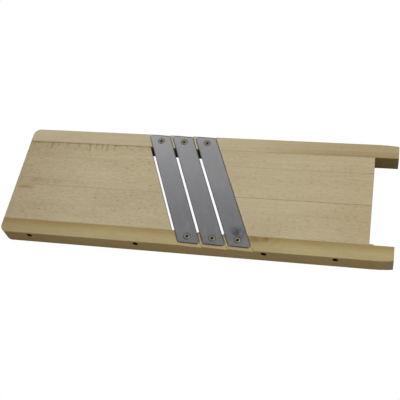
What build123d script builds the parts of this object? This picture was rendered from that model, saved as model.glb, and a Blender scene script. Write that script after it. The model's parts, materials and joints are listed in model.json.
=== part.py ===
from build123d import *

import os
from math import cos, radians, sin, tan

# A flat wooden shredding board with three slanting blades.
#
# Two side rails hold an infeed panel and an outfeed panel flush with their top faces. Each panel is glued up
# from staves and fixed through the rails by screws sunk in counterbores. Three steel blades lie between the
# panels. Their ends rest in sloping seats cut across both rails, under one countersunk wood screw each, and
# the space between the rails is open below them. The cutting edge of a blade stands above the wood in front
# of it, and a slice falls through the mouth under that edge. Past the outfeed panel the rails run on, and
# the notch between them hooks over the rim of a tub.
#
# Frame: +X along the board towards the notch, +Y across it, +Z up. The origin is the middle of the
# underside. Millimetres and degrees. "Near" is the -Y side and "far" the +Y side.

# Board
board_length = 450
board_width = 150
board_thickness = 20.5
rail_width = 18.5
panel_thickness = 10
near_stave_width = 49
far_stave_width = 22.5
notch_depth = 26
corner_radius = 9
tine_ease_run = 20
tine_ease = 1.6
edge_round = 0.8
nib_length = 4.4
nib_width = 1.8

# Blades
blade_slant = 23.7
blade_count = 3
blades_middle = 1.7
blade_width = 23.6
blade_thickness = 1
blade_near_margin = 3.6
blade_far_margin = 1.4
blade_corner_radius = 3
grind_width = 4.5
edge_land = 0.15

# Blade seats
seat_slope = 3.5
mouth = 3
seat_wall_gap = 0.8
seat_chamfer = 0.9
seat_rib = 0.9
seat_ledge = 4

# Blade screws
blade_screw_radius = 1.75
blade_screw_head_radius = 3.4
blade_screw_length = 16
blade_screw_from_end = 8.3
blade_screw_proud = 0.35

# Rail screws
rail_screw_radius = 1.5
rail_screw_head_radius = 2.8
rail_screw_length = 30
rail_screw_sunk = 9
counterbore_gap = 0.2
infeed_screw_from_end = 37
infeed_screw_from_mouth = 40
outfeed_screw_from_seat = 20
outfeed_screw_from_end = 34

# Screw form, shared by both sizes
screw_clearance = 0.05
head_rim = 0.25
plain_neck = 3
thread_pitch = 1.35
thread_depth = 0.5
thread_point = 3
recess_length_share = 1.15
recess_width_share = 0.3
recess_depth_share = 0.4

# How far a cut runs past the surface that it opens
overcut = 5

# Worked out from the values above
half_length = board_length / 2
half_width = board_width / 2
rail_inner = half_width - rail_width
panel_bottom = board_thickness - panel_thickness
panel_end = half_length - notch_depth
near_seam = -rail_inner + near_stave_width
far_seam = rail_inner - far_stave_width
blade_near_end = -half_width + blade_near_margin
blade_far_end = half_width - blade_far_margin
slant = radians(blade_slant)
slope = radians(seat_slope)
across_blades = Vector(cos(slant), sin(slant), 0)
along_blades = Vector(-sin(slant), cos(slant), 0)
seat_run = blade_width + seat_wall_gap
seat_depth = seat_run * tan(slope)
blade_pitch = seat_run + seat_chamfer + seat_rib
blade_centres = [blades_middle + (i - (blade_count - 1) / 2) * blade_pitch for i in range(blade_count)]
infeed_edge = blade_centres[0] - blade_width / 2 - mouth
outfeed_seat_end = blade_centres[-1] + blade_width / 2
outfeed_edge = outfeed_seat_end - seat_ledge

# A section across the blades: its x runs across them, its y is up, and its y 0 is the top of the board.
across_section = Plane(origin=(0, 0, board_thickness), x_dir=across_blades, z_dir=-along_blades)


def x_on_slant(distance, y):
    """The X at which the slanting line at a distance across the blades has the given Y."""
    return (distance - y * sin(slant)) / cos(slant)


def blade_plane(centre):
    """The underside of a blade: its x runs from the cutting edge to the back, its y along the blade."""
    edge = centre - blade_width / 2
    return Plane(
        origin=across_blades * edge + Vector(0, 0, board_thickness),
        x_dir=across_blades * cos(slope) - Vector(0, 0, sin(slope)),
        z_dir=across_blades * sin(slope) + Vector(0, 0, cos(slope)),
    )


def upright_through(plane):
    """The plane through the x and z of another plane, with that z as its own y."""
    return Plane(origin=plane.origin, x_dir=plane.x_dir, z_dir=plane.x_dir.cross(plane.z_dir))


def place_along(centre, run, y):
    """How far along a blade, in its own plane, the line at a run from its cutting edge has the given Y."""
    across = centre - blade_width / 2 + run * cos(slope)
    return (y - across * sin(slant)) / cos(slant)


def blade_screw_plane(centre, side):
    """A blade screw's place, side -1 near and 1 far: the origin is on top of the blade, z along the screw."""
    plane = blade_plane(centre)
    run = blade_width / 2
    y = blade_near_end + blade_screw_from_end if side < 0 else blade_far_end - blade_screw_from_end
    spot = plane.from_local_coords(Vector(run, place_along(centre, run, y), blade_thickness))
    return Plane(origin=spot, x_dir=plane.x_dir, z_dir=plane.z_dir)


def rail_screw_planes(side):
    """The places of a rail's screws, side -1 near and 1 far: origins on its outer face, z outwards."""
    inner = side * rail_inner
    places = (
        -half_length + infeed_screw_from_end,
        x_on_slant(infeed_edge, inner) - infeed_screw_from_mouth,
        x_on_slant(outfeed_seat_end, inner) + outfeed_screw_from_seat,
        panel_end - outfeed_screw_from_end,
    )
    height = board_thickness - panel_thickness / 2
    return [Plane(origin=(x, side * half_width, height), x_dir=(1, 0, 0), z_dir=(0, side, 0)) for x in places]


def cut_screw_space(plane, radius, head_radius, length, top, opening_gap):
    """Cuts the straight hole, the countersink and the space over the head of one screw."""
    rim = top - head_rim
    shank = radius + screw_clearance
    head = head_radius + screw_clearance
    bottom = top - length - screw_clearance
    with BuildSketch(upright_through(plane)) as space:
        with BuildLine():
            Polyline(
                (0, bottom),
                (shank, bottom),
                (shank, rim - (head - shank)),
                (head, rim),
                (head_radius + opening_gap, rim),
                (head_radius + opening_gap, overcut),
                (0, overcut),
                close=True,
            )
        make_face()
    revolve(space.sketch, axis=Axis(plane.origin, plane.z_dir), mode=Mode.SUBTRACT)


def cut_blade_screw_space(plane):
    """Cuts the space of one blade screw, with the air over its head cleared."""
    cut_screw_space(
        plane,
        blade_screw_radius,
        blade_screw_head_radius,
        blade_screw_length,
        blade_screw_proud,
        overcut,
    )


def cut_rail_screw_spaces():
    """Cuts the spaces of all the rail screws, with a counterbore from the rail's outer face."""
    for side in (-1, 1):
        for plane in rail_screw_planes(side):
            cut_screw_space(
                plane,
                rail_screw_radius,
                rail_screw_head_radius,
                rail_screw_length,
                -rail_screw_sunk,
                counterbore_gap,
            )


def cut_seat(centre):
    """Cuts the sloping seat of one blade, which ends in a low chamfered wall behind the blade's back."""
    edge = centre - blade_width / 2
    wall = edge + seat_run
    with BuildSketch(across_section) as seat:
        with BuildLine():
            Polyline(
                (edge, 0),
                (edge, overcut),
                (wall + seat_chamfer, overcut),
                (wall + seat_chamfer, 0),
                (wall, -seat_chamfer),
                (wall, -seat_depth),
                close=True,
            )
        make_face()
    extrude(seat.sketch, amount=board_length, both=True, mode=Mode.SUBTRACT)


def make_rail(side):
    """One side rail, -1 near and 1 far, with the seats for the blades and the spaces for its screws."""
    outer = side * half_width
    inner = side * rail_inner
    arc_inset = corner_radius * (1 - cos(radians(45)))
    with BuildPart() as rail:
        with BuildSketch(Plane.XY):
            with BuildLine():
                Polyline(
                    (-half_length, outer - side * corner_radius),
                    (-half_length, inner),
                    (half_length, inner),
                    (half_length, outer - side * tine_ease),
                )
                TangentArc(
                    (half_length - tine_ease_run, outer),
                    (half_length, outer - side * tine_ease),
                    tangent=(1, 0),
                )
                Line((half_length - tine_ease_run, outer), (-half_length + corner_radius, outer))
                ThreePointArc(
                    (-half_length + corner_radius, outer),
                    (-half_length + arc_inset, outer - side * arc_inset),
                    (-half_length, outer - side * corner_radius),
                )
            make_face()
        extrude(amount=board_thickness)
        level_edges = rail.edges().filter_by(Plane.XY)
        along_panel = level_edges.filter_by_position(Axis.Y, inner, inner)
        fillet(level_edges - along_panel, radius=edge_round)
        for centre in blade_centres:
            cut_seat(centre)
            cut_blade_screw_space(blade_screw_plane(centre, side))
        cut_rail_screw_spaces()
    return rail.part


def make_infeed_stave(low, high):
    """One stave of the panel in front of the blades, between two Ys. Its end follows the slant."""
    with BuildPart() as stave:
        with BuildSketch(Plane.XY.offset(panel_bottom)):
            with BuildLine():
                Polyline(
                    (-half_length, low),
                    (x_on_slant(infeed_edge, low), low),
                    (x_on_slant(infeed_edge, high), high),
                    (-half_length, high),
                    close=True,
                )
            make_face()
        extrude(amount=panel_thickness)
        fillet(stave.edges().filter_by(Axis.Y).group_by(Axis.X)[0], radius=edge_round)
        cut_rail_screw_spaces()
    return stave.part


def make_outfeed_stave(low, high):
    """One stave of the panel behind the blades, between two Ys, with a ledge under the last blade's back."""
    with BuildPart() as stave:
        with BuildSketch(Plane.XY.offset(panel_bottom)):
            with BuildLine():
                Polyline(
                    (x_on_slant(outfeed_edge, low), low),
                    (panel_end, low),
                    (panel_end, high),
                    (x_on_slant(outfeed_edge, high), high),
                    close=True,
                )
            make_face()
        extrude(amount=panel_thickness)
        fillet(stave.edges().filter_by(Axis.Y).group_by(Axis.X)[-1], radius=edge_round)
        cut_seat(blade_centres[-1])
        cut_rail_screw_spaces()
        if low == -rail_inner:
            # The nib that a saw leaves in the corner where the notch meets the rail.
            with BuildSketch(Plane.XY.offset(panel_bottom)):
                with Locations((panel_end, low)):
                    Rectangle(2 * nib_length, nib_width, align=(Align.CENTER, Align.MIN))
            extrude(amount=panel_thickness - edge_round)
    return stave.part


def make_blade(centre):
    """One blade: a strip with its ends cut along the rails, ground from below along its cutting edge."""
    plane = blade_plane(centre)
    ends = (blade_near_end, blade_near_end, blade_far_end, blade_far_end)
    runs = (0, blade_width, blade_width, 0)
    corners = [(run, place_along(centre, run, y)) for run, y in zip(runs, ends)]
    with BuildPart() as blade:
        with BuildSketch(plane) as outline:
            with BuildLine():
                Polyline(*corners, close=True)
            make_face()
            fillet(outline.vertices(), radius=blade_corner_radius)
        extrude(amount=blade_thickness)
        with BuildSketch(upright_through(plane)):
            with BuildLine():
                Polyline(
                    (0, blade_thickness - edge_land),
                    (grind_width, 0),
                    (grind_width, -overcut),
                    (-overcut, -overcut),
                    (-overcut, blade_thickness - edge_land),
                    close=True,
                )
            make_face()
        extrude(amount=board_length, both=True, mode=Mode.SUBTRACT)
        for side in (-1, 1):
            cut_blade_screw_space(blade_screw_plane(centre, side))
    return blade.part


def make_screw(plane, radius, head_radius, length, top):
    """One countersunk wood screw with a cross recess. Its thread is a row of rings round its core."""
    core = radius - thread_depth
    neck_top = top - head_rim - (head_radius - radius)
    neck_end = neck_top - plain_neck
    turns = int((neck_end - (top - length) - thread_point) / thread_pitch)
    head = [(0, top), (head_radius, top), (head_radius, top - head_rim), (radius, neck_top)]
    thread = [(radius, neck_end)]
    for turn in range(turns):
        start = neck_end - turn * thread_pitch
        thread += [
            (core, start - thread_pitch / 4),
            (core, start - thread_pitch / 2),
            (radius, start - thread_pitch),
        ]
    recess_length = head_radius * recess_length_share
    recess_width = head_radius * recess_width_share
    with BuildPart() as screw:
        with BuildSketch(upright_through(plane)):
            with BuildLine():
                Polyline(*head, *thread, (0, top - length), close=True)
            make_face()
        revolve(axis=Axis(plane.origin, plane.z_dir))
        with BuildSketch(plane.offset(top)):
            Rectangle(recess_length, recess_width)
            Rectangle(recess_width, recess_length)
        extrude(amount=-head_radius * recess_depth_share, mode=Mode.SUBTRACT)
    return screw.part


def make_rail_screw(plane):
    return make_screw(plane, rail_screw_radius, rail_screw_head_radius, rail_screw_length, -rail_screw_sunk)


def make_blade_screw(plane):
    return make_screw(
        plane, blade_screw_radius, blade_screw_head_radius, blade_screw_length, blade_screw_proud
    )


def write(piece, name):
    """Labels a finished piece and writes it to its own file."""
    piece.label = name
    export_step(piece, f"parts/{name}.step")


os.makedirs("parts", exist_ok=True)

for word, side in (("near", -1), ("far", 1)):
    write(make_rail(side), f"{word}_rail")
    for i, plane in enumerate(rail_screw_planes(side), start=1):
        write(make_rail_screw(plane), f"{word}_rail_screw_{i}")
    for i, centre in enumerate(blade_centres, start=1):
        write(make_blade_screw(blade_screw_plane(centre, side)), f"blade_{i}_{word}_screw")

for i, centre in enumerate(blade_centres, start=1):
    write(make_blade(centre), f"blade_{i}")

borders = (-rail_inner, near_seam, far_seam, rail_inner)
for i, (low, high) in enumerate(zip(borders, borders[1:]), start=1):
    write(make_infeed_stave(low, high), f"infeed_stave_{i}")
    write(make_outfeed_stave(low, high), f"outfeed_stave_{i}")
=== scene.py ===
import json
from math import atan2, cos, pi, radians, sin

import bpy
from bpy.props import FloatProperty, FloatVectorProperty, IntProperty, PointerProperty
from mathutils import Matrix, Vector


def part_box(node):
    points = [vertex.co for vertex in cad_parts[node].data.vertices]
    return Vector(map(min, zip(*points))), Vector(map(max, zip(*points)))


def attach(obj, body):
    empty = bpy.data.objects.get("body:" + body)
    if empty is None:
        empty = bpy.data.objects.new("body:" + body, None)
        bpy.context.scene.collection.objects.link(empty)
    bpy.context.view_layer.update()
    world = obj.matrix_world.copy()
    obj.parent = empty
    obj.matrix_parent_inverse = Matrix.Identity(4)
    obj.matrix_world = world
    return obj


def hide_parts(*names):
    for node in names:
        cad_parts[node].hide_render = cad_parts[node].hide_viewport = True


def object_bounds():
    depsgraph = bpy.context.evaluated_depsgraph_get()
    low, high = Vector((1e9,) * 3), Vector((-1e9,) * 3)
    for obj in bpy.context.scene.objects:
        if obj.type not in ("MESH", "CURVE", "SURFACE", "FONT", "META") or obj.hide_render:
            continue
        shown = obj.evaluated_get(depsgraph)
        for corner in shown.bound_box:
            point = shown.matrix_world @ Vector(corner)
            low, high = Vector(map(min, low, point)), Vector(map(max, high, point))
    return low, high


bl_info = {
    "name": "Shredding board",
    "version": (1, 0, 0),
    "blender": (4, 5, 0),
    "location": "View3D > Sidebar > Shredder",
    "description": "Planed beech, brushed blades and wood screws for a three-blade shredding board",
    "category": "Object",
}

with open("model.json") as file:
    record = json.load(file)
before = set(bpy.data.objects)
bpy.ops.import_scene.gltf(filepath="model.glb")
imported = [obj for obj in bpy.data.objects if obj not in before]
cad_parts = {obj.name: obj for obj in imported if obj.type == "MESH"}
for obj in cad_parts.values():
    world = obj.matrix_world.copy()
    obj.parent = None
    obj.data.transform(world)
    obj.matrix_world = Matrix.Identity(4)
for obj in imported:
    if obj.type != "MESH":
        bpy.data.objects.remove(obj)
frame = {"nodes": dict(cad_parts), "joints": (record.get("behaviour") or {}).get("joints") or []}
cad_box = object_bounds()

# Places on the board, read from the frame. "Near" is the -Y side and "far" the +Y side.
BLADES = (1, 2, 3)
SIDES = ("near", "far")
RAIL_SCREWS = (1, 2, 3, 4)
JOINTS = {joint["name"]: joint for joint in frame["joints"]}
INFEED_END, OUTFEED_END = cad_box[0].x, cad_box[1].x
BOARD_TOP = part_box("near_rail")[1].z
HALF_WIDTH = cad_box[1].y
NEAR_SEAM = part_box("near_rail")[1].y
FAR_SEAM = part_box("far_rail")[0].y
PANEL_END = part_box("outfeed_stave_3")[1].x
MM = 0.001


def blade_screw_joint(blade, side):
    """Where a blade screw's axis meets the top of its blade, and the direction of that axis."""
    joint = JOINTS[f"blade_{blade}_{side}_screw_turn"]
    return Vector(joint["pos_m"]), Vector(joint["axis"])


def blade_slant():
    """How far the blades lean from straight across the board, in radians."""
    run = blade_screw_joint(1, "near")[0] - blade_screw_joint(1, "far")[0]
    return atan2(run.x, -run.y)


def blade_middle(blade):
    """The middle of a blade's top, halfway between its screws."""
    near, far = (blade_screw_joint(blade, side)[0] for side in SIDES)
    return (near + far) / 2


# ---------------------------------------------------------------- shader maths


class Wire:
    """An output socket. Arithmetic on it adds Math nodes."""

    def __init__(self, finish, socket):
        self.finish = finish
        self.socket = socket

    def __add__(self, other):
        return self.finish.maths("ADD", self, other)

    def __sub__(self, other):
        return self.finish.maths("SUBTRACT", self, other)

    def __mul__(self, other):
        return self.finish.maths("MULTIPLY", self, other)

    def __truediv__(self, other):
        return self.finish.maths("DIVIDE", self, other)

    def __radd__(self, other):
        return self.finish.maths("ADD", other, self)

    def __rsub__(self, other):
        return self.finish.maths("SUBTRACT", other, self)

    def __rmul__(self, other):
        return self.finish.maths("MULTIPLY", other, self)


class Finish:
    """A material under construction: every node is added by node(), and maths by expressions on wires."""

    def __init__(self, name):
        self.material = bpy.data.materials.new(name)
        self.material.use_nodes = True
        self.tree = self.material.node_tree
        self.tree.nodes.clear()

    def node(self, kind, settings=None, sockets=None, out=0):
        """Adds a node: its settings come first, then the values or wires of its sockets."""
        made = self.tree.nodes.new(kind)
        settings = dict(settings or {})
        stops = settings.pop("stops", None)
        for name, value in settings.items():
            setattr(made, name, value)
        if stops:
            ramp = made.color_ramp.elements
            while len(ramp) < len(stops):
                ramp.new(1)
            for element, (position, colour) in zip(ramp, stops):
                element.position = position
                element.color = (*colour, 1)
        for name, value in (sockets or {}).items():
            if isinstance(value, Wire):
                self.tree.links.new(value.socket, made.inputs[name])
            else:
                made.inputs[name].default_value = value
        return Wire(self, made.outputs[out]) if made.outputs else None

    def maths(self, operation, first, second=0.0):
        """One Math node on two numbers, or on the first alone where the operation takes one."""
        return self.node("ShaderNodeMath", {"operation": operation}, {0: first, 1: second})

    def vectors(self, operation, first, second, out=0):
        """One Vector Math node on two vectors."""
        return self.node("ShaderNodeVectorMath", {"operation": operation}, {0: first, 1: second}, out)

    def length(self, vector):
        """The length of a vector."""
        return self.node("ShaderNodeVectorMath", {"operation": "LENGTH"}, {0: vector}, out="Value")

    def ease(self, value, start, stop):
        """0 before start and 1 after stop, with a smooth step between. It falls if stop is below start."""
        low, high = min(start, stop), max(start, stop)
        ends = (0.0, 1.0) if start < stop else (1.0, 0.0)
        return self.node(
            "ShaderNodeMapRange",
            {"interpolation_type": "SMOOTHSTEP"},
            {"Value": value, "From Min": low, "From Max": high, "To Min": ends[0], "To Max": ends[1]},
        )

    def mix(self, factor, first, second, blend="MIX"):
        """Mixes two colours, each a wire or a plain colour."""
        first, second = (c if isinstance(c, Wire) else (*c, 1) for c in (first, second))
        return self.node(
            "ShaderNodeMix", {"data_type": "RGBA", "blend_type": blend}, {0: factor, 6: first, 7: second}, 2
        )

    def place(self):
        """The point on the object, in metres in the board's frame."""
        return self.node("ShaderNodeTexCoord", out="Object")

    def split(self, vector):
        """The x, y and z of a vector."""
        made = self.tree.nodes.new("ShaderNodeSeparateXYZ")
        self.tree.links.new(vector.socket, made.inputs[0])
        return [Wire(self, socket) for socket in made.outputs]

    def join(self, x, y, z):
        """Three numbers as a vector."""
        return self.node("ShaderNodeCombineXYZ", sockets={0: x, 1: y, 2: z})

    def stretch(self, vector, scale, shift=(0, 0, 0), turn=0.0):
        """Turns a vector about Z, stretches it and shifts it."""
        turned = self.node("ShaderNodeMapping", sockets={"Vector": vector, "Rotation": (0, 0, turn)})
        return self.node("ShaderNodeMapping", sockets={"Vector": turned, "Scale": scale, "Location": shift})

    def noise(self, vector, detail=2.0, roughness=0.5):
        """Soft noise from 0 to 1, about one cloud to a unit of the vector."""
        return self.node(
            "ShaderNodeTexNoise",
            {"noise_dimensions": "3D"},
            {"Vector": vector, "Scale": 1.0, "Detail": detail, "Roughness": roughness},
        )

    def cells(self, vector):
        """Random cells, one to a unit: the distance to the cell's middle, and the cell's own colour."""
        made = self.tree.nodes.new("ShaderNodeTexVoronoi")
        self.tree.links.new(vector.socket, made.inputs["Vector"])
        made.inputs["Scale"].default_value = 1.0
        return Wire(self, made.outputs["Distance"]), Wire(self, made.outputs["Color"])

    def spot(self, vector, middle, reach, blur=0.5):
        """1 inside an oval round a place on the board, falling to 0 at its rim. Its reach is in X and Y."""
        x, y, _ = self.split(vector)
        across = self.join((x - middle[0]) / reach[0], (y - middle[1]) / reach[1], 0.0)
        return self.ease(self.length(across), 1.0, blur)

    def surface(self, colour, roughness, height, depth, **plain):
        """Closes the material with one shader and a bump. What is in plain stays the same all over."""
        bump = self.node("ShaderNodeBump", sockets={"Strength": 1.0, "Distance": depth, "Height": height})
        settings = {name.replace("_", " "): value for name, value in plain.items()}
        shader = self.node(
            "ShaderNodeBsdfPrincipled",
            sockets={"Base Color": colour, "Roughness": roughness, "Normal": bump, **settings},
        )
        self.node("ShaderNodeOutputMaterial", sockets={"Surface": shader})
        return self.material


# ---------------------------------------------------------------- what a user may change


class WoodLook(bpy.types.PropertyGroup):
    light: FloatVectorProperty(name="Light wood", description="Early wood of the panels", size=3,
                               subtype="COLOR", min=0, max=1, default=(0.590, 0.508, 0.325))
    dark: FloatVectorProperty(name="Dark wood", description="Late wood of the panels", size=3,
                              subtype="COLOR", min=0, max=1, default=(0.440, 0.355, 0.210))
    rail_light: FloatVectorProperty(name="Light rail", description="Early wood of the rails", size=3,
                                    subtype="COLOR", min=0, max=1, default=(0.520, 0.424, 0.220))
    rail_dark: FloatVectorProperty(name="Dark rail", description="Late wood of the rails", size=3,
                                   subtype="COLOR", min=0, max=1, default=(0.408, 0.313, 0.141))
    fleck: FloatVectorProperty(name="Ray fleck", description="Short brown flecks along the grain", size=3,
                               subtype="COLOR", min=0, max=1, default=(0.250, 0.160, 0.075))
    # Painted highlight on the seats' chamfers and upper walls: how much brighter they are painted.
    highlight_gain: FloatVectorProperty(name="Seat highlight", description="How much brighter the seats' cut edges are",
                               size=3, min=0, max=3, default=(1.75, 1.80, 1.85))
    ring: FloatProperty(name="Ring spacing", description="Mean width of a growth ring",
                        default=3.4 * MM, unit="LENGTH")
    fleck_length: FloatProperty(name="Fleck length", description="Length of a ray fleck along the grain",
                                default=3.0 * MM, unit="LENGTH")
    wear: FloatProperty(name="Edge wear", description="Width of the rubbed band along the edges",
                        default=1.6 * MM, unit="LENGTH")


class SteelLook(bpy.types.PropertyGroup):
    colour: FloatVectorProperty(name="Steel", description="Reflection colour of the blades", size=3,
                                subtype="COLOR", min=0, max=1, default=(0.45, 0.45, 0.455))
    roughness: FloatProperty(name="Blade roughness", description="Mean roughness of the satin blades",
                             default=0.33, min=0, max=1)
    plating: FloatVectorProperty(name="Yellow zinc", description="Plating of the blade screws", size=3,
                                 subtype="COLOR", min=0, max=1, default=(0.34, 0.31, 0.20))
    # Painted shade on the blades' reflection towards the near end: its colour and how far it reaches.
    dim_tone: FloatVectorProperty(name="Shadowed steel", description="Reflection colour of the handled near end",
                              size=3, subtype="COLOR", min=0, max=1, default=(0.32, 0.32, 0.34))
    shade_amount: FloatProperty(name="Near shade", description="How far the near end is dimmed",
                           default=0.5, min=0, max=1)
    width: FloatProperty(name="Blade width", description="Across a blade", default=23.6 * MM, unit="LENGTH")
    brush: FloatProperty(name="Brush line", description="Width of one brushing line",
                         default=0.35 * MM, unit="LENGTH")


class ScrewShape(bpy.types.PropertyGroup):
    rim: FloatProperty(name="Head rim", description="Straight rim round a countersunk head",
                       default=0.25 * MM, unit="LENGTH")
    blade_head: FloatProperty(name="Blade screw head", description="Radius of the head",
                              default=3.4 * MM, unit="LENGTH")
    blade_shank: FloatProperty(name="Blade screw shank", description="Radius over the thread",
                               default=1.75 * MM, unit="LENGTH")
    blade_length: FloatProperty(name="Blade screw length", description="From the head's rim to the point",
                                default=16 * MM, unit="LENGTH")
    dome: FloatProperty(name="Dome", description="How far the blade screw's head is domed above the blade",
                        default=0.33 * MM, unit="LENGTH")
    rail_head: FloatProperty(name="Rail screw head", description="Radius of the head",
                             default=2.8 * MM, unit="LENGTH")
    rail_shank: FloatProperty(name="Rail screw shank", description="Radius over the thread",
                              default=1.5 * MM, unit="LENGTH")
    rail_length: FloatProperty(name="Rail screw length", description="From the head to the point",
                               default=30 * MM, unit="LENGTH")
    pitch: FloatProperty(name="Thread pitch", description="Rise of the thread in one turn",
                         default=1.35 * MM, unit="LENGTH")
    sides: IntProperty(name="Sides", description="Points round a screw", default=48, min=12)
    turn: FloatProperty(name="First turn", description="How far the first screw's recess is turned",
                        default=radians(28), subtype="ANGLE")


class StageLook(bpy.types.PropertyGroup):
    aim: FloatVectorProperty(name="Aim", description="Point on the board that the camera looks at", size=3,
                             subtype="TRANSLATION", default=(0.0071, -0.0144, 0.0200))
    azimuth: FloatProperty(name="Azimuth", description="Camera's turn round the board from the near side",
                           default=radians(24.45), subtype="ANGLE")
    elevation: FloatProperty(name="Elevation", description="Camera's height above the horizon",
                             default=radians(56.30), subtype="ANGLE")
    roll: FloatProperty(name="Roll", description="Camera's tilt about its own line of sight",
                        default=radians(-16.96), subtype="ANGLE")
    distance: FloatProperty(name="Distance", description="From the camera to its aim",
                            default=0.8603, unit="LENGTH")
    lens: FloatProperty(name="Lens", description="Focal length on a 36 mm sensor", default=67.63)
    key: FloatProperty(name="Overhead light", description="Power of the wide soft light overhead",
                       default=11.0, min=0)
    card: FloatProperty(name="Far card", description="Power of the soft light that the blades mirror",
                        default=4.9, min=0)
    left: FloatProperty(name="Left card", description="Power of the soft light at the infeed end",
                        default=5.0, min=0)
    fill: FloatProperty(name="Fill", description="Brightness of the surroundings", default=0.45)


def look(name):
    """One group of the sizes and colours that the sidebar shows."""
    return getattr(bpy.context.scene, name)


# ---------------------------------------------------------------- wood

# Colours that the wood is multiplied by.
DIRT = (0.50, 0.40, 0.27)
BROWN = (0.80, 0.71, 0.52)
GLUE = (0.60, 0.50, 0.36)
# Painted shade on the walls of the rail bores.
BORE_SHADE = (0.06, 0.05, 0.035)
# A warmer, slightly lighter tone for the rails' outer sides.
OUTER_SIDE_WARMTH = (1.14, 1.02, 0.92)
KNOT = (0.66, 0.52, 0.30)
KNOT_HEART = (0.50, 0.36, 0.19)
KNOT_RINGS = (0.62, 0.47, 0.26)
RED_STREAK = (0.76, 0.56, 0.42)
BROWN_STREAK = (0.74, 0.54, 0.40)

# Colours that are laid over the wood.
RUBBED_EDGE = (0.34, 0.26, 0.15)
END_GRAIN = (0.36, 0.27, 0.15)

# Where the pith of each stave's tree lay, in Y and Z, and how plain each seam is, from near to far.
INFEED_PITHS = ((-0.020, -0.060), (0.034, -0.085), (0.020, -0.045))
INFEED_SEAMS = (0.0, 0.32, 0.08, 0.0)
OUTFEED_PITHS = ((-0.050, -0.070), (0.000, -0.055), (0.075, -0.050))
OUTFEED_SEAMS = (0.3, 1.0, 0.45, 0.5)

# Runs of glue on the far infeed joint: how far from the infeed end, with the width and the length of each.
GLUE_RUNS = tuple((x * MM, width * MM, length * MM) for x, width, length in (
    (10, 1.2, 5), (31, 2.6, 12), (38, 1.5, 9), (50, 1.2, 7), (66, 1.5, 9), (81, 2.0, 14), (89, 1.3, 9),
    (97, 1.6, 11), (103, 1.7, 12), (113, 1.5, 10), (128, 1.2, 7),
))

# The bores over the rail screws, and how much of a rail its blade seats take up.
BORE_RADIUS = 3 * MM
SEATS_HALF_RUN = 84 * MM
SEAT_WALL = 1.5 * MM

def box_of(names):
    """The lowest and highest corner of several nodes together."""
    corners = [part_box(name) for name in names]
    low = Vector(min(c[0][i] for c in corners) for i in range(3))
    high = Vector(max(c[1][i] for c in corners) for i in range(3))
    return low, high


def grain(finish, point, pith, ring):
    """Growth rings round a pith that runs along the board, from 0, early wood, to 1, late wood."""
    drift = finish.noise(finish.stretch(point, (4, 18, 18), (pith[0] * 90, pith[1] * 70, 0)), detail=2)
    sway = finish.noise(finish.stretch(point, (2.2, 7, 7), (7.1, pith[0] * 40, 3.3)), detail=1)
    _, y, z = finish.split(point)
    y = y - pith[0] + (drift - 0.5) * (9 * MM) + (sway - 0.5) * (16 * MM)
    z = z - pith[1] + (drift - 0.5) * (5 * MM)
    radius = finish.length(finish.join(0.0, y, z))
    bands = finish.node(
        "ShaderNodeTexNoise",
        {"noise_dimensions": "1D"},
        {"W": radius / ring, "Scale": 1.0, "Detail": 1.5, "Roughness": 0.6},
    )
    return finish.ease(bands, 0.34, 0.68)


def flecks(finish, point, length, share, seed):
    """Short dark ray flecks along the grain: 1 on a fleck. Share is how many of the cells hold one."""
    stretched = (0.42 / length, 1.5 / length, 1.5 / length)
    cells = finish.stretch(point, stretched, (seed, seed * 1.7, seed * 0.3))
    shake = finish.node("ShaderNodeTexNoise", {}, {"Vector": cells, "Scale": 0.9}, "Color")
    distance, colour = finish.cells(finish.vectors("ADD", cells, shake))
    pick = finish.split(colour)[0]
    body = finish.ease(distance, 0.36, 0.12)
    return body * finish.ease(pick, 1 - share, 1 - share * 0.6)


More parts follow.
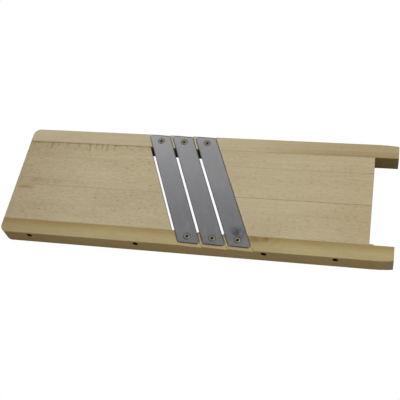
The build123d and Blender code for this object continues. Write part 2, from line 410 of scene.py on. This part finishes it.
def wood(name, nodes, light, dark, pith, seed, speckle, tints):
    """Planed beech for one board.

    speckle is how strongly its ray flecks and pores show. Each of the tints is how much, a colour
    that the wood is multiplied by, and a mask as a function of the finish and the point."""
    style = look("shredder_wood")
    finish = Finish(name)
    point = finish.place()
    x, y, z = finish.split(point)
    low, high = box_of(nodes)

    rings = grain(finish, point, pith, style.ring)
    fibre = finish.noise(finish.stretch(point, (26, 560, 560), (seed, 0, 0)), detail=4, roughness=0.62)
    pores = finish.noise(finish.stretch(point, (150, 2400, 2400), (0, seed, 0)), detail=2, roughness=0.7)
    cloud = finish.noise(
        finish.stretch(point, (10, 32, 32), (seed * 2.3, 1.7, 0)), detail=3, roughness=0.55
    )
    grit = finish.noise(finish.stretch(point, (210, 620, 620), (3, seed, 1)), detail=3, roughness=0.7)
    tone = rings * 0.12 + finish.ease(fibre, 0.30, 0.72) * 0.20 + finish.ease(cloud, 0.30, 0.70) * 0.28
    colour = finish.mix(tone + finish.ease(grit, 0.36, 0.64) * (0.36 * speckle), light, dark)

    long_flecks = flecks(finish, point, style.fleck_length, 0.50, seed)
    short_flecks = flecks(finish, point, style.fleck_length * 0.6, 0.55, seed + 11.3)
    fleck = finish.maths("MAXIMUM", long_flecks, short_flecks * 0.8)
    patchy = finish.ease(cloud, 0.34, 0.62) * 0.5 + 0.5
    colour = finish.mix(fleck * patchy * (0.58 * speckle), colour, style.fleck)
    # The last tint is the painted highlight on the seats' chamfers and upper walls.
    for much, tint, mask in (*tints, (1.0, style.highlight_gain, seat_highlight)):
        colour = finish.mix(mask(finish, point) * much, colour, tint, blend="MULTIPLY")

    # A rubbed, slightly dirty band where two faces meet: both distances to the box are small there.
    ragged = (finish.noise(finish.stretch(point, (60, 220, 220)), detail=3) - 0.5) * (1.4 * MM)
    to_side = finish.maths("MINIMUM", y - low.y, high.y - y)
    to_top = finish.maths("MINIMUM", z - low.z, high.z - z)
    to_end = finish.maths("MINIMUM", x - low.x, high.x - x)
    edge = finish.maths("MAXIMUM", to_top, finish.maths("MINIMUM", to_side, to_end)) + ragged
    edge_wear_and_shade = finish.ease(edge, style.wear, 0.0)
    colour = finish.mix(edge_wear_and_shade * 0.14, colour, RUBBED_EDGE)

    # End grain drinks dirt and shows the cut ends of the fibres.
    end_cut = finish.ease(to_end, 0.9 * MM, 0.1 * MM)
    colour = finish.mix(end_cut * 0.22, colour, END_GRAIN)

    height = fibre * 0.5 + pores * 0.35 - fleck * 0.5 - rings * 0.12
    roughness = 0.54 + fibre * 0.16 - edge_wear_and_shade * 0.08
    return finish.surface(colour, roughness, height, 0.14 * MM, Specular_IOR_Level=0.30)


def along(start, stop):
    """A mask that grows along the board from one X to another."""
    return lambda finish, point: finish.ease(finish.split(point)[0], start, stop)


def beside(y, width):
    """A mask along the line at a Y, fading over a width on both sides."""

    def mask(finish, point):
        off = finish.maths("ABSOLUTE", finish.split(point)[1] - y)
        return finish.ease(off, width, 0.0)

    return mask


def both(first, second):
    """A mask where two masks meet."""
    return lambda finish, point: first(finish, point) * second(finish, point)


def outer_face(side):
    """A mask for the outer side of a rail, side -1 near and 1 far."""
    return lambda finish, point: finish.ease(
        finish.split(point)[1] * side, HALF_WIDTH - 0.9 * MM, HALF_WIDTH - 0.2 * MM
    )


def knot_swirl(middle, reach, spacing):
    """A mask for the curled grain round a knot: rings about its middle, fading towards its reach."""

    def mask(finish, point):
        x, y, _ = finish.split(point)
        bend = finish.noise(finish.stretch(point, (120, 190, 60), (3.3, 1.2, 0)), detail=2) * (7 * MM)
        distance = finish.length(finish.join((x - middle[0]) * 0.55, y - middle[1], 0.0)) + bend
        rings = finish.maths("SINE", distance * (2 * pi / spacing))
        return finish.spot(point, middle, reach, 0.2) * finish.ease(rings, -0.9, 1.0)

    return mask


def smudge(middle, reach, scale=90):
    """A mask for one uneven stain."""

    def mask(finish, point):
        breakup = finish.noise(finish.stretch(point, (scale * 0.4, scale, scale)), detail=3)
        return finish.spot(point, middle, reach, 0.0) * finish.ease(breakup, 0.30, 0.60)

    return mask


def seam(y, width=0.30 * MM):
    """A hairline joint between two boards: dark, a little uneven."""

    def mask(finish, point):
        off = finish.maths("ABSOLUTE", finish.split(point)[1] - y)
        broken = finish.noise(finish.stretch(point, (45, 45, 45)), detail=2)
        return finish.ease(off, width * 1.6, width * 0.4) * (0.35 + broken * 0.8)

    return mask


def glue_line(y):
    """Squeezed-out glue that has darkened along a joint: a ragged line, broken here and there."""

    def mask(finish, point):
        across = finish.split(point)[1]
        wander = (finish.noise(finish.stretch(point, (120, 120, 0)), detail=3) - 0.5) * (3.0 * MM)
        thick = finish.ease(finish.noise(finish.stretch(point, (44, 0, 0)), detail=2), 0.34, 0.60)
        off = finish.maths("ABSOLUTE", across - y + 0.6 * MM + wander)
        return finish.ease(off, 1.8 * MM, 0.3 * MM) * (thick * 0.75 + 0.25)

    return mask


def glue_run(x, y, width, length):
    """One dark run of glue that crosses the grain from a joint, thinning out as it goes."""

    def mask(finish, point):
        along_board, across, _ = finish.split(point)
        wander = finish.noise(finish.stretch(point, (40, 160, 0), (x * 50, 0, 0)), detail=2)
        bend = (wander - 0.5) * (5 * MM)
        fallen = (y - across) / length
        off = finish.maths("ABSOLUTE", along_board - x + bend) + fallen * (width * 0.35)
        return finish.ease(off, width, width * 0.25) * finish.ease(fallen, 1.15, 0.55)

    return mask


def seat_highlight(finish, point):
    """A mask for the painted highlight on the chamfers and upper walls of the blade seats."""
    x, y, z = finish.split(point)
    depth = BOARD_TOP - z
    inside = finish.ease(finish.maths("ABSOLUTE", y), HALF_WIDTH - 3.2 * MM, HALF_WIDTH - 4.2 * MM)
    off = finish.maths("ABSOLUTE", x - blade_middle(2).x)
    by_blades = finish.ease(off, SEATS_HALF_RUN, SEATS_HALF_RUN - 4 * MM)
    upper = finish.ease(depth, 0.04 * MM, 0.20 * MM) * finish.ease(depth, SEAT_WALL, SEAT_WALL - 0.4 * MM)
    return upper * inside * by_blades


def bore_shade_mask(screws):
    """A mask for the painted shade on the walls of the bores that the named screws sit in."""

    def mask(finish, point):
        x, _, z = finish.split(point)
        within = 0.0
        for name in screws:
            low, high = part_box(name)
            off = finish.length(finish.join(x - (low.x + high.x) / 2, 0.0, z - (low.z + high.z) / 2))
            wall_shade = finish.ease(off, BORE_RADIUS + 0.30 * MM, BORE_RADIUS + 0.05 * MM)
            within = finish.maths("MAXIMUM", within, wall_shade)
        return within

    return mask


def paint(nodes, material):
    """Gives CAD nodes a material in all their slots."""
    for name in nodes:
        for slot in frame["nodes"][name].material_slots:
            slot.material = material


def finish_rails():
    """Beech on the rails: warmer outer sides, painted shade in the bores and a knot's curled grain behind
    the last blade.
    """
    style = look("shredder_wood")
    after_blades = blade_middle(3).x + 35 * MM
    far_browned = both(
        beside(FAR_SEAM, 11 * MM),
        along(after_blades - 20 * MM, OUTFEED_END - 60 * MM),
    )
    far = wood(
        "far_rail_beech",
        ["far_rail"],
        style.light,
        style.dark,
        pith=(FAR_SEAM + 62 * MM, -0.045),
        seed=2.0,
        speckle=0.35,
        tints=[
            (1.0, (0.80, 0.75, 0.66), along(0.0, OUTFEED_END)),
            (0.75, BROWN, far_browned),
            (0.8, DIRT, seam(FAR_SEAM)),
            (1.0, OUTER_SIDE_WARMTH, outer_face(1)),
            # Painted shade on the walls of the bores.
            (1.0, BORE_SHADE, bore_shade_mask([f"far_rail_screw_{number}" for number in RAIL_SCREWS])),
        ],
    )
    paint(["far_rail"], far)

    knot = Vector((after_blades + 10 * MM, NEAR_SEAM - 4 * MM))
    heart = knot + Vector((13 * MM, 1 * MM))
    swirl = knot + Vector((8 * MM, 3 * MM))
    near = wood(
        "near_rail_beech",
        ["near_rail"],
        style.rail_light,
        style.rail_dark,
        pith=(NEAR_SEAM - 30 * MM, -0.030),
        seed=5.0,
        speckle=0.4,
        tints=[
            (0.95, (0.76, 0.68, 0.48), beside(NEAR_SEAM, 13 * MM)),
            (0.80, (0.76, 0.72, 0.68), along(-90 * MM, INFEED_END)),
            (0.70, KNOT, smudge(knot, (32 * MM, 9 * MM))),
            (0.85, KNOT_HEART, smudge(heart, (6 * MM, 4 * MM), 160)),
            (0.34, KNOT_RINGS, knot_swirl(swirl, (34 * MM, 15 * MM), 6.5 * MM)),
            (1.00, OUTER_SIDE_WARMTH, outer_face(-1)),
            (0.5, DIRT, seam(NEAR_SEAM)),
            # Painted shade on the walls of the bores.
            (1.0, BORE_SHADE, bore_shade_mask([f"near_rail_screw_{number}" for number in RAIL_SCREWS])),
        ],
    )
    paint(["near_rail"], near)


def finish_infeed():
    """Beech on the infeed staves, with two streaks near the end and dried glue along the far joint."""
    style = look("shredder_wood")
    for stave, pith in enumerate(INFEED_PITHS, start=1):
        name = f"infeed_stave_{stave}"
        low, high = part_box(name)
        tints = [
            (1.0, (0.84, 0.80, 0.76), along(-110 * MM, INFEED_END - 15 * MM)),
            (INFEED_SEAMS[stave - 1], DIRT, seam(low.y)),
            (INFEED_SEAMS[stave], DIRT, seam(high.y)),
        ]
        if stave == 1:
            streak = (INFEED_END + 13 * MM, high.y - 4 * MM)
            tints.append((1.0, RED_STREAK, smudge(streak, (20 * MM, 4 * MM))))
        if stave == 2:
            streak = (INFEED_END + 24 * MM, low.y + 7 * MM)
            tints.append((0.8, BROWN_STREAK, smudge(streak, (20 * MM, 5 * MM))))
        if stave == 3:
            tints.append((0.90, GLUE, glue_line(high.y)))
            for x, width, length in GLUE_RUNS:
                tints.append((0.66, GLUE, glue_run(INFEED_END + x, high.y, width, length)))
            tints.append((0.22, BROWN, beside(high.y, 9 * MM)))
        material = wood(f"{name}_beech", [name], style.light, style.dark, pith, 3.0 * stave, 1.0, tints)
        paint([name], material)


def finish_outfeed():
    """Beech on the outfeed staves, with two plain seams and a dirty spot at the notch."""
    style = look("shredder_wood")
    for stave, pith in enumerate(OUTFEED_PITHS, start=1):
        name = f"outfeed_stave_{stave}"
        low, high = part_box(name)
        tints = [
            (1.0, (0.95, 0.92, 0.88), along(0.12, PANEL_END)),
            (OUTFEED_SEAMS[stave - 1], DIRT, seam(low.y)),
            (OUTFEED_SEAMS[stave], DIRT, seam(high.y)),
        ]
        if stave == 3:
            tints.append((1.0, DIRT, smudge((PANEL_END - 3 * MM, low.y), (8 * MM, 1.2 * MM))))
        seed = 20 + 3.0 * stave
        material = wood(f"{name}_beech", [name], style.light, style.dark, pith, seed, 0.75, tints)
        paint([name], material)


# ---------------------------------------------------------------- steel

# Reflection colours of marks and painted shade on the blades.
# Painted shade along the blades' edges.
EDGE_SHADE_STEEL = (0.085, 0.083, 0.090)
# Painted shade round each countersink.
COUNTERSINK_SHADE = (0.060, 0.057, 0.052)
FINGERMARK = (0.24, 0.24, 0.26)
STAIN = (0.115, 0.115, 0.125)

# Reflection colours of the screws.
SCUFFED_ZINC = (0.60, 0.56, 0.44)
# Painted shade in the screws' recesses and under their heads' rims.
RECESS_SHADE = (0.020, 0.017, 0.012)
PHOSPHATE = (0.030, 0.029, 0.028)
SCUFFED_PHOSPHATE = (0.09, 0.085, 0.08)

def blade_steel(blade):
    """Satin strip steel, brushed along the blade, with smudges, and painted shade along the edges, round
    the screws and towards the near end.
    """
    style = look("shredder_steel")
    finish = Finish(f"blade_{blade}_satin")
    point = finish.place()
    centred = finish.vectors("SUBTRACT", point, tuple(blade_middle(blade)))
    upright = (0, 0, -blade_slant())
    turned = finish.node("ShaderNodeMapping", sockets={"Vector": centred, "Rotation": upright})
    across, lengthwise, _ = finish.split(turned)

    line = 1 / style.brush
    brushed = finish.noise(
        finish.stretch(turned, (line, line * 0.03, line), (blade * 3.7, 0, 0)), detail=3, roughness=0.6
    )
    cloud = finish.noise(finish.stretch(turned, (46, 22, 26), (0, blade * 5.1, 0)), detail=4, roughness=0.6)
    prints = finish.noise(finish.stretch(turned, (110, 75, 75), (blade, 4, 0)), detail=3)
    fingers = finish.ease(prints, 0.52, 0.72)
    steel = Vector(style.colour)
    tone = finish.ease(brushed * 0.35 + cloud * 0.65, 0.32, 0.68)
    colour = finish.mix(tone, steel * 0.92, steel * 1.04)
    # Painted shade: the reflection darkens towards the near end.
    shaded = finish.ease(lengthwise, 45 * MM, -65 * MM)
    colour = finish.mix(shaded * style.shade_amount, colour, style.dim_tone)

    # Painted shade along the sides, the ends and round each countersink.
    low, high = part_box(f"blade_{blade}")
    to_side = style.width / 2 - finish.maths("ABSOLUTE", across)
    y = finish.split(point)[1]
    to_edge = finish.maths("MINIMUM", to_side, finish.maths("MINIMUM", y - low.y, high.y - y))
    ragged = (cloud - 0.5) * (0.8 * MM)
    edge_wear_and_shade = finish.ease(to_edge + ragged, 1.4 * MM, 0.2 * MM)
    colour = finish.mix(edge_wear_and_shade * 0.85, colour, EDGE_SHADE_STEEL)
    for side in SIDES:
        screw = blade_screw_joint(blade, side)[0]
        ring = finish.spot(point, (screw.x, screw.y), (4.8 * MM, 4.8 * MM), 0.76)
        # Painted shade round the countersink.
        colour = finish.mix(ring * 0.85, colour, COUNTERSINK_SHADE)
    colour = finish.mix(fingers * 0.12, colour, FINGERMARK)
    if blade == BLADES[-1]:
        near = blade_screw_joint(blade, "near")[0]
        stain = finish.spot(point, (near.x - 2 * MM, near.y + 9 * MM), (14 * MM, 14 * MM), 0.1)
        patches = finish.noise(finish.stretch(point, (95, 95, 95), (2, 5, 0)), detail=3, roughness=0.6)
        stain = stain * (finish.ease(patches, 0.34, 0.60) * 0.7 + 0.15)
        colour = finish.mix(stain, colour, STAIN)

    height = brushed * 0.7 + cloud * 0.3
    roughness = style.roughness - 0.06 + brushed * 0.12 + fingers * 0.06
    return finish.surface(colour, roughness, height, 0.012 * MM, Metallic=1.0)


def finish_blades():
    """Satin steel on the three blades."""
    for blade in BLADES:
        paint([f"blade_{blade}"], blade_steel(blade))


def screw_metal(name, colour, scuff):
    """Coated screw steel: mottled, with fine scuffs in another colour."""
    finish = Finish(name)
    point = finish.place()
    mottle = finish.noise(finish.stretch(point, (900, 900, 900)), detail=4, roughness=0.6)
    scuffs = finish.noise(finish.stretch(point, (300, 2600, 900), (4, 0, 1)), detail=2)
    base = Vector(colour)
    tone = finish.mix(finish.ease(mottle, 0.30, 0.70), base * 0.68, base * 1.12)
    tone = finish.mix(finish.ease(scuffs, 0.58, 0.75) * 0.45, tone, scuff)
    return finish, point, mottle, tone


def blade_screw_zinc(name, spot, axis):
    """Yellow zinc, with painted shade in the recess and under the head's rim."""
    style = look("shredder_steel")
    finish, point, mottle, tone = screw_metal(name, style.plating, SCUFFED_ZINC)
    offset = finish.vectors("SUBTRACT", point, tuple(spot))
    rise = finish.vectors("DOT_PRODUCT", offset, tuple(axis), "Value")
    # Painted shade in the recess and under the head's rim.
    deep = finish.ease(rise, 0.05 * MM, -0.30 * MM)
    core = finish.spot(point, (spot.x, spot.y), (2.3 * MM, 2.3 * MM), 0.45)
    tone = finish.mix(finish.maths("MAXIMUM", deep, core * 0.80), tone, RECESS_SHADE)
    return finish.surface(tone, 0.34 + mottle * 0.22, mottle, 0.03 * MM, Metallic=1.0)


def rail_screw_black(name):
    """Black phosphate, a little grey where it is scuffed."""
    finish, _, mottle, tone = screw_metal(name, PHOSPHATE, SCUFFED_PHOSPHATE)
    return finish.surface(tone, 0.50 + mottle * 0.22, mottle, 0.03 * MM, Metallic=0.7)


# ---------------------------------------------------------------- screws

# The plain neck, the thread, the point and its blunt tip.
NECK = 3 * MM
THREAD_DEPTH = 0.5 * MM
POINT = 3 * MM
TIP = 0.3 * MM
DOME_RINGS = 6

# The cross recess, in shares of the head's radius, and how far its floor narrows.
RECESS_ARM = 0.60
RECESS_SLOT = 0.19
RECESS_DEPTH = 0.55
RECESS_TAPER = 0.45

# How much further each screw's recess is turned than the one before.
BLADE_SCREW_STEP = radians(37)
RAIL_SCREW_STEP = radians(53)

def deselect():
    """Leaves nothing selected, so that the next operator acts on its own piece alone."""
    bpy.ops.object.select_all(action="DESELECT")


def pick_faces(mesh_object, test):
    """In edit mode, selects the faces whose centre and normal pass a test, and nothing else."""
    bpy.ops.mesh.select_all(action="DESELECT")
    bpy.ops.object.mode_set(mode="OBJECT")
    for face in mesh_object.data.polygons:
        face.select = test(face.center, face.normal)
    bpy.ops.object.mode_set(mode="EDIT")


def apply_modifiers(piece):
    """Applies all the modifiers of a piece, from the first to the last."""
    bpy.context.view_layer.objects.active = piece
    for modifier in list(piece.modifiers):
        bpy.ops.object.modifier_apply(modifier=modifier.name)


def pull_face(drop, scale):
    """Extrudes the selected face downwards and resizes it about its own middle."""
    bpy.ops.mesh.extrude_region_move(TRANSFORM_OT_translate={"value": (0, 0, -drop)})
    bpy.ops.transform.resize(value=(scale, scale, 1))


def make_screw(name, shape, head, shank, length, dome):
    """A countersunk wood screw that points down, with its rim at the origin and a tapered cross recess.

    The head is flat where the dome is 0."""
    deselect()
    bpy.ops.mesh.primitive_cylinder_add(
        vertices=shape.sides, radius=head, depth=shape.rim, location=(0, 0, -shape.rim / 2)
    )
    screw = bpy.context.object
    screw.name = name
    bpy.ops.object.mode_set(mode="EDIT")
    pick_faces(screw, lambda centre, normal: normal.z < -0.9)
    pull_face(head - shank, shank / head)
    pull_face(NECK, 1.0)
    run = length - shape.rim - (head - shank) - NECK - POINT
    core = 1 - THREAD_DEPTH / shank
    turns = int(run / shape.pitch)
    for _ in range(turns):
        pull_face(shape.pitch * 0.25, core)
        pull_face(shape.pitch * 0.25, 1.0)
        pull_face(shape.pitch * 0.50, 1 / core)
    pull_face(POINT + run - turns * shape.pitch - TIP, 0.10)
    pull_face(TIP, 0.02)
    if dome:
        pick_faces(screw, lambda centre, normal: normal.z > 0.9)
        rings = [i / DOME_RINGS * pi / 2 for i in range(DOME_RINGS)]
        for inner, outer in zip(rings[1:], rings):
            pull_face(dome * (sin(outer) - sin(inner)), cos(inner) / cos(outer))
        pull_face(dome * (sin(rings[-1]) - 1), 0.05)
    bpy.ops.object.mode_set(mode="OBJECT")

    deselect()
    bpy.ops.mesh.primitive_cube_add(size=1, location=(0, 0, 0))
    cutter = bpy.context.object
    arm, slot, deep = head * RECESS_ARM, head * RECESS_SLOT, head * RECESS_DEPTH
    cutter.scale = (2 * slot, 2 * slot, 2 * deep)
    bpy.ops.object.transform_apply(location=False, rotation=False, scale=True)
    bpy.ops.object.mode_set(mode="EDIT")
    for axis in (0, 1):
        for way in (-1, 1):
            pick_faces(cutter, lambda c, n: n[axis] * way > 0.9 and abs(c[1 - axis]) < slot / 2)
            push = [0, 0, 0]
            push[axis] = way * (arm - slot)
            bpy.ops.mesh.extrude_region_move(TRANSFORM_OT_translate={"value": tuple(push)})
    pick_faces(cutter, lambda c, n: n.z < -0.9)
    bpy.ops.transform.resize(value=(RECESS_TAPER, RECESS_TAPER, 1), center_override=(0, 0, -deep))
    bpy.ops.object.mode_set(mode="OBJECT")

    cut = screw.modifiers.new("recess", "BOOLEAN")
    cut.operation = "DIFFERENCE"
    cut.object = cutter
    cut.solver = "EXACT"
    ease = screw.modifiers.new("ease", "BEVEL")
    ease.width = 0.09 * MM
    ease.segments = 2
    ease.limit_method = "ANGLE"
    ease.angle_limit = radians(50)
    apply_modifiers(screw)
    bpy.data.objects.remove(cutter)
    deselect()
    screw.select_set(True)
    bpy.context.view_layer.objects.active = screw
    bpy.ops.object.shade_smooth_by_angle(angle=radians(35))
    return screw


def place_copy(pattern, name, origin, axis, turn):
    """A copy of a screw with its own mesh, its head at a place and its axis along a direction."""
    piece = pattern.copy()
    piece.data = pattern.data.copy()
    piece.name = name
    bpy.context.scene.collection.objects.link(piece)
    stand = axis.to_track_quat("Z", "Y").to_matrix().to_4x4()
    piece.data.transform(Matrix.Translation(origin) @ stand @ Matrix.Rotation(turn, 4, "Z"))
    return piece


def finish_blade_screws():
    """Six domed screws in yellow zinc, each riding on its own body."""
    shape = look("shredder_screw")
    pattern = make_screw(
        "blade_screw_pattern", shape, shape.blade_head, shape.blade_shank, shape.blade_length, shape.dome
    )
    for count, (blade, side) in enumerate((b, s) for b in BLADES for s in SIDES):
        node = f"blade_{blade}_{side}_screw"
        spot, axis = blade_screw_joint(blade, side)
        turn = shape.turn + count * BLADE_SCREW_STEP
        piece = place_copy(pattern, f"{node}_turned", spot, axis, turn)
        piece.data.materials.append(blade_screw_zinc(f"{node}_zinc", spot, axis))
        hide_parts(node)
        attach(piece, node)
    bpy.data.objects.remove(pattern)


def finish_rail_screws():
    """Eight flat black screws at the bottom of the rails' bores."""
    shape = look("shredder_screw")
    pattern = make_screw(
        "rail_screw_pattern", shape, shape.rail_head, shape.rail_shank, shape.rail_length, 0
    )
    metal = rail_screw_black("rail_screw_black")
    for side, way in zip(SIDES, (-1, 1)):
        for number in RAIL_SCREWS:
            node = f"{side}_rail_screw_{number}"
            low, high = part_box(node)
            outer = low.y if way < 0 else high.y
            spot = Vector(((low.x + high.x) / 2, outer, (low.z + high.z) / 2))
            turn = shape.turn + number * RAIL_SCREW_STEP
            piece = place_copy(pattern, f"{node}_turned", spot, Vector((0, way, 0)), turn)
            piece.data.materials.append(metal)
            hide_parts(node)
            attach(piece, "board")
    bpy.data.objects.remove(pattern)


# ---------------------------------------------------------------- stage

FLOOR_SIZE = 8
FLOOR_GAP = 0.4 * MM

# Each light's power on the sidebar, its place, its width and height, and its colour.
LIGHTS = {
    "overhead": ("key", (0.80, 0.10, 1.20), (1.7, 0.7), (1.0, 0.99, 0.96)),
    "left_card": ("left", (-1.25, 0.15, 0.75), (0.9, 0.7), (1.0, 0.99, 0.97)),
    "far_card": ("card", (-0.65, 1.25, 1.00), (1.8, 0.7), (0.97, 0.98, 1.0)),
}

def floor_material():
    """A pale floor that looks evenly white and gives back part of its light. From below it is clear."""
    finish = Finish("pale_floor")
    seen = finish.node("ShaderNodeLightPath", out="Is Camera Ray")
    white = finish.node("ShaderNodeEmission", sockets={"Color": (1, 1, 1, 1), "Strength": 1.0})
    dim_tone = finish.node("ShaderNodeBsdfDiffuse", sockets={"Color": (0.30, 0.29, 0.27, 1)})
    lit = finish.node("ShaderNodeMixShader", sockets={0: seen, 1: dim_tone, 2: white})
    below = finish.node("ShaderNodeNewGeometry", out="Backfacing")
    clear = finish.node("ShaderNodeBsdfTransparent")
    shown = finish.node("ShaderNodeMixShader", sockets={0: below, 1: lit, 2: clear})
    finish.node("ShaderNodeOutputMaterial", sockets={"Surface": shown})
    return finish.material


def set_camera(style):
    """The camera, turned and tilted about the point that it looks at."""
    back = Vector((
        sin(style.azimuth) * cos(style.elevation),
        -cos(style.azimuth) * cos(style.elevation),
        sin(style.elevation),
    ))
    camera = bpy.data.objects.new("camera", bpy.data.cameras.new("camera"))
    bpy.context.scene.collection.objects.link(camera)
    camera.data.sensor_width = 36
    camera.data.lens = style.lens
    camera.data.clip_start = 0.01
    camera.data.clip_end = 50
    camera.rotation_mode = "QUATERNION"
    facing = (-back).to_track_quat("-Z", "Y").to_matrix().to_4x4()
    camera.rotation_quaternion = (facing @ Matrix.Rotation(style.roll, 4, "Z")).to_quaternion()
    camera.location = Vector(style.aim) + back * style.distance
    bpy.context.scene.camera = camera


def set_light(name, place, size, power, colour):
    """A soft rectangular light that faces the middle of the board. Its size is its width and its height."""
    light = bpy.data.objects.new(name, bpy.data.lights.new(name, "AREA"))
    bpy.context.scene.collection.objects.link(light)
    light.data.shape = "RECTANGLE"
    light.data.size, light.data.size_y = size
    light.data.energy = power
    light.data.color = colour
    light.location = place
    light.rotation_mode = "QUATERNION"
    light.rotation_quaternion = (-Vector(place)).to_track_quat("-Z", "Y")


def set_surroundings(fill):
    """A soft grey room, brighter at the horizon than overhead."""
    world = bpy.data.worlds.new("studio")
    bpy.context.scene.world = world
    world.use_nodes = True
    nodes, links = world.node_tree.nodes, world.node_tree.links
    background = nodes["Background"]
    place = nodes.new("ShaderNodeTexCoord")
    parts = nodes.new("ShaderNodeSeparateXYZ")
    ramp = nodes.new("ShaderNodeValToRGB")
    links.new(place.outputs["Generated"], parts.inputs[0])
    links.new(parts.outputs["Z"], ramp.inputs["Fac"])
    links.new(ramp.outputs["Color"], background.inputs["Color"])
    ramp.color_ramp.elements[0].color = (1.0, 0.99, 0.97, 1)
    ramp.color_ramp.elements[1].color = (0.45, 0.455, 0.47, 1)
    background.inputs["Strength"].default_value = fill


def make_stage():
    """The floor, the surroundings, the lights and the camera."""
    style = look("shredder_stage")
    deselect()
    bpy.ops.mesh.primitive_plane_add(size=FLOOR_SIZE, location=(0, 0, cad_box[0].z - FLOOR_GAP))
    floor = bpy.context.object
    floor.name = "floor"
    bpy.ops.object.transform_apply(location=True, rotation=False, scale=False)
    floor.data.materials.append(floor_material())
    set_surroundings(style.fill)
    for name, (power, place, size, colour) in LIGHTS.items():
        set_light(name, place, size, getattr(style, power), colour)
    set_camera(style)
    bpy.context.scene.view_settings.view_transform = "Standard"


# ---------------------------------------------------------------- add-on


class SHREDDER_OT_stage(bpy.types.Operator):
    """Lays the floor, sets the soft lights and the surroundings, and places the camera"""

    bl_idname = "shredder.stage"
    bl_label = "Stage"

    def execute(self, context):
        make_stage()
        return {"FINISHED"}


class SHREDDER_OT_rails(bpy.types.Operator):
    """Gives the two side rails their planed beech"""

    bl_idname = "shredder.rails"
    bl_label = "Rails"

    def execute(self, context):
        finish_rails()
        return {"FINISHED"}


class SHREDDER_OT_infeed(bpy.types.Operator):
    """Gives the three staves in front of the blades their beech, seams and glue"""

    bl_idname = "shredder.infeed"
    bl_label = "Infeed panel"

    def execute(self, context):
        finish_infeed()
        return {"FINISHED"}


class SHREDDER_OT_outfeed(bpy.types.Operator):
    """Gives the three staves behind the blades their beech and seams"""

    bl_idname = "shredder.outfeed"
    bl_label = "Outfeed panel"

    def execute(self, context):
        finish_outfeed()
        return {"FINISHED"}


class SHREDDER_OT_blades(bpy.types.Operator):
    """Gives the three blades their satin steel"""

    bl_idname = "shredder.blades"
    bl_label = "Blades"

    def execute(self, context):
        finish_blades()
        return {"FINISHED"}


class SHREDDER_OT_blade_screws(bpy.types.Operator):
    """Turns the six yellow blade screws and sets each on its own axis"""

    bl_idname = "shredder.blade_screws"
    bl_label = "Blade screws"

    def execute(self, context):
        finish_blade_screws()
        return {"FINISHED"}


class SHREDDER_OT_rail_screws(bpy.types.Operator):
    """Turns the eight black rail screws and sets them in their bores"""

    bl_idname = "shredder.rail_screws"
    bl_label = "Rail screws"

    def execute(self, context):
        finish_rail_screws()
        return {"FINISHED"}


OPERATORS = (
    SHREDDER_OT_stage,
    SHREDDER_OT_rails,
    SHREDDER_OT_infeed,
    SHREDDER_OT_outfeed,
    SHREDDER_OT_blades,
    SHREDDER_OT_blade_screws,
    SHREDDER_OT_rail_screws,
)
LOOKS = {
    "shredder_wood": WoodLook,
    "shredder_steel": SteelLook,
    "shredder_screw": ScrewShape,
    "shredder_stage": StageLook,
}


class SHREDDER_PT_panel(bpy.types.Panel):
    bl_idname = "SHREDDER_PT_panel"
    bl_label = "Shredding board"
    bl_space_type = "VIEW_3D"
    bl_region_type = "UI"
    bl_category = "Shredder"

    def draw(self, context):
        for made in OPERATORS:
            self.layout.operator(made.bl_idname)
        for name, group in LOOKS.items():
            box = self.layout.box()
            for field in group.__annotations__:
                box.prop(getattr(context.scene, name), field)


def register():
    """Adds the classes, and one group of sizes and colours for each part of the look to the scene."""
    for made in (*LOOKS.values(), *OPERATORS, SHREDDER_PT_panel):
        bpy.utils.register_class(made)
    for name, group in LOOKS.items():
        setattr(bpy.types.Scene, name, PointerProperty(type=group))


def unregister():
    """Takes away what register() added."""
    for name in LOOKS:
        delattr(bpy.types.Scene, name)
    for made in reversed((*LOOKS.values(), *OPERATORS, SHREDDER_PT_panel)):
        bpy.utils.unregister_class(made)


def main():
    """Builds the whole visual model in order."""
    register()
    bpy.ops.shredder.stage()
    bpy.ops.shredder.rails()
    bpy.ops.shredder.infeed()
    bpy.ops.shredder.outfeed()
    bpy.ops.shredder.blades()
    bpy.ops.shredder.blade_screws()
    bpy.ops.shredder.rail_screws()


if __name__ == "__main__":
    main()
